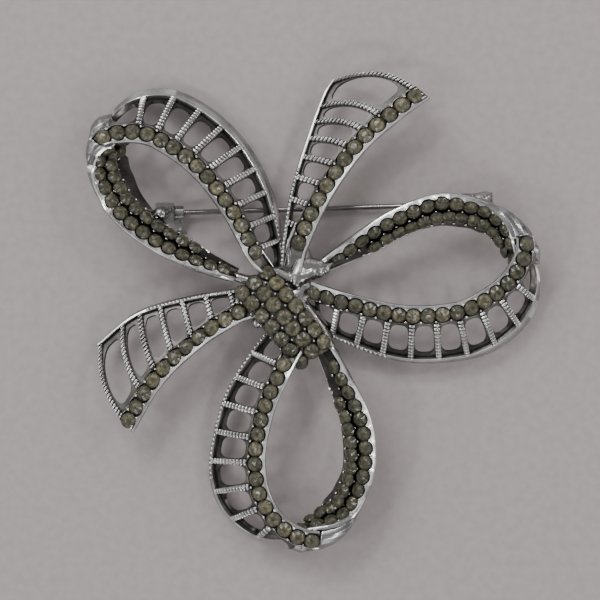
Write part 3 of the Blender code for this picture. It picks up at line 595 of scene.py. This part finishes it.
def plate(shape, ribbon, windows, start, stop_gap):
    """The lower layer of the openwork: a sheet with a rounded opening in each window."""
    top, low = -0.02, -HALF_WALL
    power = 3.4                   # of the opening's superellipse
    sides = 40
    verts, faces = [], []
    for a, b in windows:
        hole, border = [], []
        share = 1 - 0.80 / max((b - a) * ribbon.length, 1.6)
        for k in range(sides):
            t = 2 * math.pi * k / sides
            x, y = math.cos(t), math.sin(t)
            m = max(abs(x), abs(y))
            fit = 1.0 / (abs(x) ** power + abs(y) ** power) ** (1 / power)
            border.append((x / m, y / m))
            hole.append((x * fit * share, y * fit * 0.84 - 0.04))
        rings = []
        for pts in (border, hole):
            u = np.array([a + (b - a) * (x + 1) / 2 for x, y in pts])
            w = ribbon.width(u)
            end = np.maximum(w - stop_gap, start + 0.5)
            s = start + (end - start) * (np.array([y for x, y in pts]) + 1) / 2
            rings.append((u, s))
        base = len(verts)
        for u, s in rings:
            for level in (top, low):
                verts.extend(ribbon.at(u, s, level))
        r = [[base + q * sides + k for k in range(sides)] for q in range(4)]
        for k in range(sides):
            j = (k + 1) % sides
            faces += [(r[0][k], r[0][j], r[2][j], r[2][k]), (r[1][k], r[1][j], r[3][j], r[3][k]),
                      (r[2][k], r[2][j], r[3][j], r[3][k]), (r[0][k], r[0][j], r[1][j], r[1][k])]
    # The whole sheet takes the darker copy: painted shade under the openwork.
    shape.add(verts, faces, DARK)


def spans(ribbon, u0, u1):
    """Sections along a ribbon, about 0.12 mm apart."""
    step = 0.12
    return np.linspace(u0, u1, max(3, int((u1 - u0) * ribbon.length / step)))


# For each loop: its bars as first, last and how many; where the openwork ends at the tip; the
# front row's first and last place; the pave rows' last places; the outer rail's width; how
# far its milgrain runs; and how far the rail leans out past the ribbon's edge, by place.
LOOPS = {
    "upper_left": dict(ribbon=left, pave=left_pave, bars=(0.055, 0.44, 9), tip=0.520,
                       edge=(0.05, 0.548), root=(0.970, 0.900), rail=0.45, milgrain=0.12,
                       flare=((0.0, 0.2), (0.1, 0.8), (0.42, 1.0), (0.50, 1.15),
                              (0.54, 0.3), (0.57, 0.0))),
    "right": dict(ribbon=right, pave=right_pave, bars=(0.055, 0.445, 9), tip=0.525,
                  edge=(0.008, 0.545), root=(0.970, 0.905), rail=0.50, milgrain=0.16,
                  flare=((0.0, 0.2), (0.3, 0.5), (0.42, 0.95), (0.50, 1.0),
                         (0.54, 0.3), (0.57, 0.0))),
    "bottom": dict(ribbon=bottom, pave=bottom_pave, bars=(0.055, 0.43, 8), tip=0.510,
                   edge=(0.05, 0.537), root=(0.960, 0.890), rail=0.60, milgrain=0.30,
                   flare=((0.0, 0.15), (0.3, 0.25), (0.45, 0.45), (0.52, 0.5), (0.56, 0.0))),
}
ROOT = 0.004              # where a loop's channel and rail begin
TIP_RUN = 0.05            # over this share of the loop the outer rail sinks into the tip wall
SKIN_END = 0.72           # where the outer wall has joined the pave strip


def first_wide(ribbon, start, least):
    """The first place past `start` where the strip is at least so wide."""
    us = np.linspace(start, start + 0.25, 120)
    wide = ribbon.width(us) >= least
    return us[np.argmax(wide)]


def set_prongs(shape, ribbon, places, lines, face=1, r=0.17, lift=0.0):
    """Small grains of metal between the stones of a row."""
    for i in range(len(places) - 1):
        u = (places[i] + places[i + 1]) / 2
        for s in lines:
            size = r * random.uniform(0.85, 1.3)
            # Grains take the lighter copy as painted highlight.
            set_bead(shape, ribbon, u, s, 0.46 + lift, size, face, 0.9, BRIGHT)


def milgrain(shape, ribbon, start, stop, inset):
    """A line of fine beads along the outer rail."""
    r = 0.25
    count = max(2, int((stop - start) * ribbon.length / BEAD))
    for u in np.linspace(start, stop, count):
        # The beads take the lighter copy as painted highlight.
        set_bead(shape, ribbon, u, ribbon.width(u)[0] - inset, RAIL_TOP, r, 1, 0.9, BRIGHT)


def row_of_stones(ribbon, line, start, stop):
    """Evenly spaced places on the line s = `line`, as near to PITCH apart as fits."""
    edge = ribbon.at(np.linspace(start, stop, 60), line)
    run = np.linalg.norm(np.diff(edge, axis=0), axis=1).sum()
    return ribbon.along(line, start, stop, round(run / PITCH) + 1)


def melt(obj, voxel, iterations):
    """Joins a piece's shells into one rounded skin."""
    join = obj.modifiers.new("join", "REMESH")
    join.mode, join.voxel_size, join.use_smooth_shade = "VOXEL", voxel * MM, True
    flow = obj.modifiers.new("flow", "SMOOTH")
    flow.factor, flow.iterations = 0.5, iterations


def outer_rail(shape, spec, first, last):
    ribbon, width_of_rail = spec["ribbon"], spec["rail"]
    us = spans(ribbon, first, last)
    width = ribbon.width(us)
    flare = np.interp(us, *zip(*spec["flare"]))
    top = RAIL_TOP - 0.40 * smooth((us - spec["tip"]) / TIP_RUN)
    rail(shape, ribbon, us, np.maximum(width - width_of_rail, RAIL_EDGE + 0.1), width + flare,
         top)


def build_openwork(cast, spec, front, turn):
    """The front half: its channel of stones up to the turn, the rail, the bars, the sheet."""
    ribbon, tip = spec["ribbon"], spec["tip"]
    us = spans(ribbon, ROOT, turn)
    rim_band(cast, ribbon, us, front, np.full(len(us), RAIL_EDGE))
    outer_rail(cast, spec, ROOT, tip)
    bars = ribbon.along(5.0, *spec["bars"])
    reach = spec["rail"] - 0.2
    for u in bars:
        rung(cast, ribbon, u, RAIL_EDGE - 0.2, ribbon.width(u)[0] - reach)
    stops = list(bars) + [tip - 0.008]
    cells = [(0.006, bars[0])] + list(zip(stops, stops[1:]))
    plate(cast, ribbon, cells, RAIL_EDGE - 0.05, spec["rail"] - 0.1)


def build_tip_wall(name, spec, turn):
    """The wall that carries the ribbon round, from the last window to the pave strip."""
    ribbon, tip = spec["ribbon"], spec["tip"]
    wall = Shape()
    us = spans(ribbon, tip - 0.02, SKIN_END)
    width = ribbon.width(us)
    begin = (RAIL_EDGE - 0.12) * (1 - smooth((us - turn + 0.012) / 0.018)) + 0.02
    finish = np.where(us < turn, width, np.minimum(width, 4.2)) - 0.05
    rise = 0.42 * smooth((us - tip + 0.02) / 0.03)
    rise -= 0.55 * smooth((us - SKIN_END + 0.08) / 0.08)
    skin(wall, ribbon, us, begin, np.maximum(finish, begin + 0.3), rise - 0.04)
    outer_rail(wall, spec, tip - 0.01, tip + TIP_RUN)
    wall = wall.build(name + "_tip_wall", [GUNMETAL], "brooch", "gunmetal_casting",
                      [name + "_loop"])
    melt(wall, 0.08, 14)


def build_loop(name, spec):
    ribbon, pave = spec["ribbon"], spec["pave"]
    front = row_of_stones(ribbon, FRONT_ROW, *spec["edge"])
    outer = row_of_stones(pave, FRONT_ROW, first_wide(pave, 0.50, 2.2), spec["root"][0])
    between = (outer[:-1] + outer[1:]) / 2
    inner = between[(pave.width(between) > 3.9) & (between < spec["root"][1])]
    turn = front[-1] + 0.5 * (front[-1] - front[-2])
    cast = Shape()
    build_openwork(cast, spec, front, turn)
    build_tip_wall(name, spec, turn)
    begin = first_wide(pave, 0.50, 1.2)
    us = spans(pave, begin, 0.996)

    def dip(u):
        """The strip comes up from under the front rim over its first few millimetres."""
        return 0.75 * (1 - smooth((u - begin) / 0.06))

    rim_band(cast, pave, us, outer, pave.width(us), face=-1, rows=2, sink=dip(us))
    set_prongs(cast, ribbon, front, (RIM + 0.24, RIM + ROW - 0.20))
    set_prongs(cast, pave, outer[outer > begin + 0.05], (RIM + 0.24, RIM + ROW), face=-1)
    set_prongs(cast, pave, inner[inner > begin + 0.06], (SECOND_ROW + 0.86,), face=-1,
               lift=PAVE_STEP)
    milgrain(cast, ribbon, 0.01, spec["milgrain"], spec["rail"] - 0.2)
    cast.build(name + "_casting", METALS, "brooch", "gunmetal_casting", [name + "_loop"])
    for strip, row, suffix, places, s, face, lift in (
            (ribbon, "front", "_stones", front, FRONT_ROW, 1, 0.0),
            (pave, "pave_outer", "_row", outer, FRONT_ROW, -1, 0.0),
            (pave, "pave_inner", "_row", inner, SECOND_ROW, -1, PAVE_STEP)):
        gems = Shape()
        for u in places:
            height = STONE_SEAT + lift - (dip(u) if face < 0 else 0.0)
            # The pave rows, turned inward, keep to the dark end of the tints as painted shade.
            set_stone(gems, strip, u, s, face, height=height, tint_and_shade=0.32 if face < 0 else 0.90)
        gems.build("%s_%s_chatons" % (name, row), [STONE], "brooch", "smoky_rhinestone",
                   ["%s_%s%s" % (name, row, suffix)], angle=FACETED)


for key, spec in LOOPS.items():
    build_loop(key, spec)


def build_tail(name, ribbon, bars, row, rail_width, grains):
    cast = Shape()
    stones = ribbon.along(FRONT_ROW, *row)
    us = spans(ribbon, 0.01, 1.0)
    width = ribbon.width(us)
    rim_band(cast, ribbon, us, stones, np.minimum(RAIL_EDGE, width - 0.3))
    rail(cast, ribbon, us, np.maximum(width - rail_width, RAIL_EDGE - 0.1), width, RAIL_TOP)
    bars = ribbon.along(4.5, *bars)
    for u in bars:
        rung(cast, ribbon, u, RAIL_EDGE - 0.2, ribbon.width(u)[0] - rail_width + 0.2)
    end = 1 - 0.45 / ribbon.length
    rung(cast, ribbon, end, RIM, ribbon.width(end)[0] - 0.3, width=0.8, low=-0.5, top=0.30)
    cells = list(zip(list(bars), list(bars[1:]) + [end]))
    plate(cast, ribbon, cells, RAIL_EDGE - 0.05, rail_width - 0.1)
    us = spans(ribbon, 0.01, bars[0] + 0.01)
    rail(cast, ribbon, us, np.full(len(us), RAIL_EDGE - 0.1),
         np.maximum(ribbon.width(us) - 0.4, RAIL_EDGE + 0.4), 0.25)
    set_prongs(cast, ribbon, stones, (RIM + 0.30, RIM + ROW - 0.26))
    milgrain(cast, ribbon, 0.03, grains, rail_width - 0.2)
    cast.build(name + "_casting", METALS, "brooch", "gunmetal_casting", [name])
    gems = Shape()
    for u in stones:
        set_stone(gems, ribbon, u, FRONT_ROW)
    gems.build(name + "_chatons", [STONE], "brooch", "smoky_rhinestone", [name + "_stones"],
               angle=FACETED)


build_tail("top_tail", top_tail, (0.20, 0.80, 7), (0.13, 0.965, 13), 0.62, 0.45)
build_tail("left_tail", left_tail, (0.12, 0.80, 6), (0.10, 0.965, 11), 0.75, 0.62)


# ---- the knot -----------------------------------------------------------------------------
KNOT_LINES = (0.98, 2.90, 4.82)
KNOT_SECTIONS = 60
bed = Shape()
us = np.linspace(0.0, 1.0, KNOT_SECTIONS)
width = knot.width(us)
drop = 0.9 * np.abs(2 * us - 1) ** 14         # the plate turns down at its two ends
# The bed's top and edges among the stones take the darker copy as painted shade; its underside is
# plain.
cols = [(0.35, -1.15, 0), (0.15, -0.85, 2), (0.12, -0.30, 2), (0.20, -0.12, 2), (0.32, -0.10, 2),
        (1.9, -0.02, 2), (-1.9, -0.02, 2), (-0.32, -0.10, 2), (-0.20, -0.12, 2),
        (-0.12, -0.30, 2), (-0.15, -0.85, 0), (-0.35, -1.15, 0)]
s = np.stack([np.full(KNOT_SECTIONS, c[0]) if i < len(cols) // 2 else width + c[0]
              for i, c in enumerate(cols)], axis=1)
n = np.stack([c[1] - drop for c in cols], axis=1)
bed.sweep(knot.at(np.repeat(us[:, None], len(cols), 1), s, n), [c[2] for c in cols])
gems = Shape()
for line in KNOT_LINES:
    places = knot.along(line, 0.072, 0.928, 7)
    for u in places:
        slip = random.uniform(-0.006, 0.006)
        set_stone(gems, knot, u + slip, line + random.uniform(-0.08, 0.08), size=1.02,
                  height=0.34 + random.uniform(-0.10, 0.14))
    for u in (places[:-1] + places[1:]) / 2:
        for side in (-0.97, 0.97):
            set_bead(bed, knot, u, line + side * 0.98, 0.36, 0.2, 1, 0.9, PLAIN)
for u in np.linspace(0.03, 0.97, 30):
    for line in (0.15, 5.72):
        grain = random.uniform(0.14, 0.22)
        set_bead(bed, knot, u, line, random.uniform(-0.2, 0.05), grain, 1, 0.9, PLAIN)
bed.build("knot_bed", METALS, "brooch", "gunmetal_casting", ["knot_setting"])
gems.build("knot_chatons", [STONE], "brooch", "smoky_rhinestone", ["knot_stones"], angle=FACETED)


# ---- solder and findings -------------------------------------------------------------------
def blob(name, chains, replaced):
    """Flowed metal: chains of balls (x, y, z, radius) melted into one smooth skin."""
    shape = Shape()
    ball = globe(8, 14)
    for chain in chains:
        for a, b in zip(chain, chain[1:] or chain):
            steps = max(2, int(math.dist(a[:3], b[:3]) / 0.3))
            for t in np.linspace(0, 1, steps):
                c = [p + (q - p) * t for p, q in zip(a, b)]
                shape.add(ball[0] * c[3] + np.array(c[:3]), ball[1])
    obj = shape.build(name, [SOLDER], "brooch", "solder", replaced)
    melt(obj, 0.10, 7)
    clouds = bpy.data.textures.new(name + "_flow", "CLOUDS")
    clouds.noise_scale = 0.0009
    lumps = obj.modifiers.new("lumps", "DISPLACE")
    lumps.texture, lumps.strength, lumps.texture_coords = clouds, 0.05 * MM, "LOCAL"


blob("solder_neck", [
    [(-4.2, 0.2, 3.6, 1.7), (-2.6, 1.4, 3.7, 1.8), (-1.6, 2.6, 3.7, 1.6), (-3.4, 3.2, 3.7, 1.5)],
    [(-1.5, 7.2, 3.7, 1.0), (-1.5, 6.0, 4.0, 1.35), (-2.2, 4.4, 4.5, 1.3), (-2.4, 3.5, 4.9, 0.8)],
    [(-1.3, 5.8, 4.3, 1.2), (0.4, 5.6, 4.5, 0.95), (1.4, 5.9, 4.6, 0.7), (2.3, 6.5, 4.5, 0.5)],
    [(0.6, 5.4, 4.6, 0.7), (-0.4, 4.8, 4.8, 0.8), (-1.6, 4.2, 4.8, 0.9)],
    [(1.2, 5.2, 4.6, 0.7), (0.5, 4.7, 4.7, 0.65), (-0.3, 4.5, 4.7, 0.7)],
    [(-3.2, 6.0, 4.2, 0.55), (-3.4, 8.8, 4.5, 0.36)],
    [(-6.6, 5.0, 5.0, 0.7), (-4.6, 4.6, 4.6, 0.9), (-2.6, 3.8, 4.6, 0.9)],
    [(-11.0, 4.8, 4.2, 0.5), (-9.6, 4.2, 4.4, 0.65), (-7.8, 3.7, 4.6, 0.7), (-6.0, 3.6, 4.4, 0.8)],
    [(-7.3, -1.4, 4.2, 0.8), (-5.0, -0.4, 3.9, 1.1)],
    [(-1.4, -5.0, 4.4, 0.7), (-2.0, -2.2, 3.9, 1.2)],
    [(-2.1, -5.9, 5.0, 0.55), (-1.5, -5.0, 5.2, 0.7), (-0.6, -4.0, 4.8, 0.8)],
    [(2.6, -5.4, 4.2, 0.5), (2.0, -4.6, 4.2, 0.6), (0.4, -1.8, 3.8, 1.1), (-1.4, 0.4, 3.8, 1.4)],
], ["hub"])
blob("hinge_solder_pad", [
    [(19.6, 13.4, 4.0, 0.75), (20.5, 13.9, 4.6, 1.0), (21.3, 14.3, 4.2, 0.75)],
], ["hinge_solder"])
blob("catch_solder_pad", [
    [(-20.6, 11.4, 4.0, 0.7), (-19.4, 12.2, 4.3, 0.95), (-18.4, 12.6, 3.9, 0.6)],
], ["catch_solder"])


def soften(source, name, body, material, width=0.06):
    """A finding with its edges rounded over."""
    obj = bpy.data.objects.new(name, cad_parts[source].data.copy())
    bpy.context.scene.collection.objects.link(obj)
    obj.data.materials.clear()
    obj.data.materials.append(material)
    bm = bmesh.new()
    bm.from_mesh(obj.data)
    bmesh.ops.remove_doubles(bm, verts=bm.verts, dist=1e-7)
    bmesh.ops.recalc_face_normals(bm, faces=bm.faces)
    bm.to_mesh(obj.data)
    bm.free()
    obj.data.shade_smooth()
    obj.data.set_sharp_from_angle(angle=math.radians(35))
    edge = obj.modifiers.new("soft_edges", "BEVEL")
    edge.width, edge.segments, edge.limit_method = width * MM, 2, "ANGLE"
    edge.angle_limit = math.radians(40)
    edge.use_clamp_overlap = True
    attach(obj, body)
    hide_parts(source)


soften("hinge_base", "hinge_ears", "brooch", FITTING)
soften("hinge_rivet", "rivet", "brooch", WIRE)
soften("catch_housing", "rolled_catch", "brooch", FITTING)
soften("safety_sleeve", "turning_lock", "safety", FITTING, 0.04)
soften("pin_stem", "pin_and_eye", "pin", WIRE, 0.03)


# ---- floor, light and camera ---------------------------------------------------------------
TENT, KEY = 0.84, 0.87    # strength of the tent round the scene, watts of the key light


def floor_material():
    mat, tree, shader = new_material("floor_paper")
    place_ = node(tree, "ShaderNodeTexCoord").outputs["Object"]
    fibre = node(tree, "ShaderNodeTexNoise", [("Vector", place_)], Scale=900.0, Detail=6.0)
    tone = ramp(tree, fibre.outputs["Fac"], [(0.3, (0.375, 0.340, 0.336)),
                                             (0.7, (0.418, 0.382, 0.376))])
    tree.links.new(tone.outputs["Color"], shader.inputs["Base Color"])
    shader.inputs["Roughness"].default_value = 0.85
    return mat


def area(name, place_, aim, size, power, colour=(1, 1, 1)):
    lamp = bpy.data.lights.new(name, "AREA")
    lamp.shape = "RECTANGLE"
    lamp.size, lamp.size_y = size
    lamp.energy = power
    lamp.color = colour
    obj = bpy.data.objects.new(name, lamp)
    obj.location = place_
    obj.rotation_euler = (Vector(aim) - Vector(place_)).to_track_quat("-Z", "Y").to_euler()
    bpy.context.scene.collection.objects.link(obj)


bpy.ops.mesh.primitive_grid_add(x_subdivisions=2, y_subdivisions=2, size=1.6,
                                location=(0, 0, 0))
floor = bpy.context.object
floor.name = "floor"
floor.data.materials.append(floor_material())


def light_tent():
    """A pale tent all round: brightest overhead, dimmer and uneven toward the horizon."""
    world = bpy.data.worlds.new("studio")
    world.use_nodes = True
    tree = world.node_tree
    way = node(tree, "ShaderNodeTexCoord").outputs["Generated"]
    parts = node(tree, "ShaderNodeSeparateXYZ", [("Vector", way)])
    height = ramp(tree, parts.outputs["Z"], [(0.0, (0.25, 0.24, 0.24)), (0.18, (0.85, 0.83, 0.83)),
                                             (0.40, (1.35, 1.34, 1.34)), (0.66, (0.95, 0.95, 0.95)),
                                             (0.90, (0.42, 0.42, 0.42))])
    cloud = node(tree, "ShaderNodeTexNoise", [("Vector", way)], Scale=3.2, Detail=2.0)
    patch = ramp(tree, cloud.outputs["Fac"], [(0.40, (0.16, 0.155, 0.155)),
                                              (0.58, (1.5, 1.5, 1.5))])
    mix = node(tree, "ShaderNodeMix", data_type="RGBA", blend_type="MULTIPLY")
    mix.inputs["Factor"].default_value = 1.0
    tree.links.new(height.outputs["Color"], mix.inputs["A"])
    tree.links.new(patch.outputs["Color"], mix.inputs["B"])
    back = tree.nodes["Background"]
    tree.links.new(mix.outputs["Result"], back.inputs["Color"])
    back.inputs["Strength"].default_value = TENT
    bpy.context.scene.world = world


light_tent()
area("key", (-0.25, 0.28, 0.41), (0, 0, 0), (0.22, 0.22), KEY)
area("side", (0.42, 0.06, 0.20), (0, 0, 0), (0.12, 0.30), KEY * 0.3, (1.0, 0.93, 0.86))
for index, turn in enumerate((35, 110, 200, 290)):
    way = math.radians(turn)
    spot = (0.32 * math.cos(way), 0.32 * math.sin(way), 0.36)
    area("glint%d" % index, spot, (0, 0, 0), (0.05, 0.05), KEY * 0.30)

camera_data = bpy.data.cameras.new("camera")
LENS, SENSOR, FIELD = 200, 36, 0.075       # millimetres, millimetres, metres across the view
camera_data.lens = LENS
camera_data.clip_end = 5
camera = bpy.data.objects.new("camera", camera_data)
aim = Vector((-0.00164, 0.00154, 0.005))
camera.location = aim + Vector((0, 0, FIELD * LENS / SENSOR))
bpy.context.scene.collection.objects.link(camera)
bpy.context.scene.camera = camera
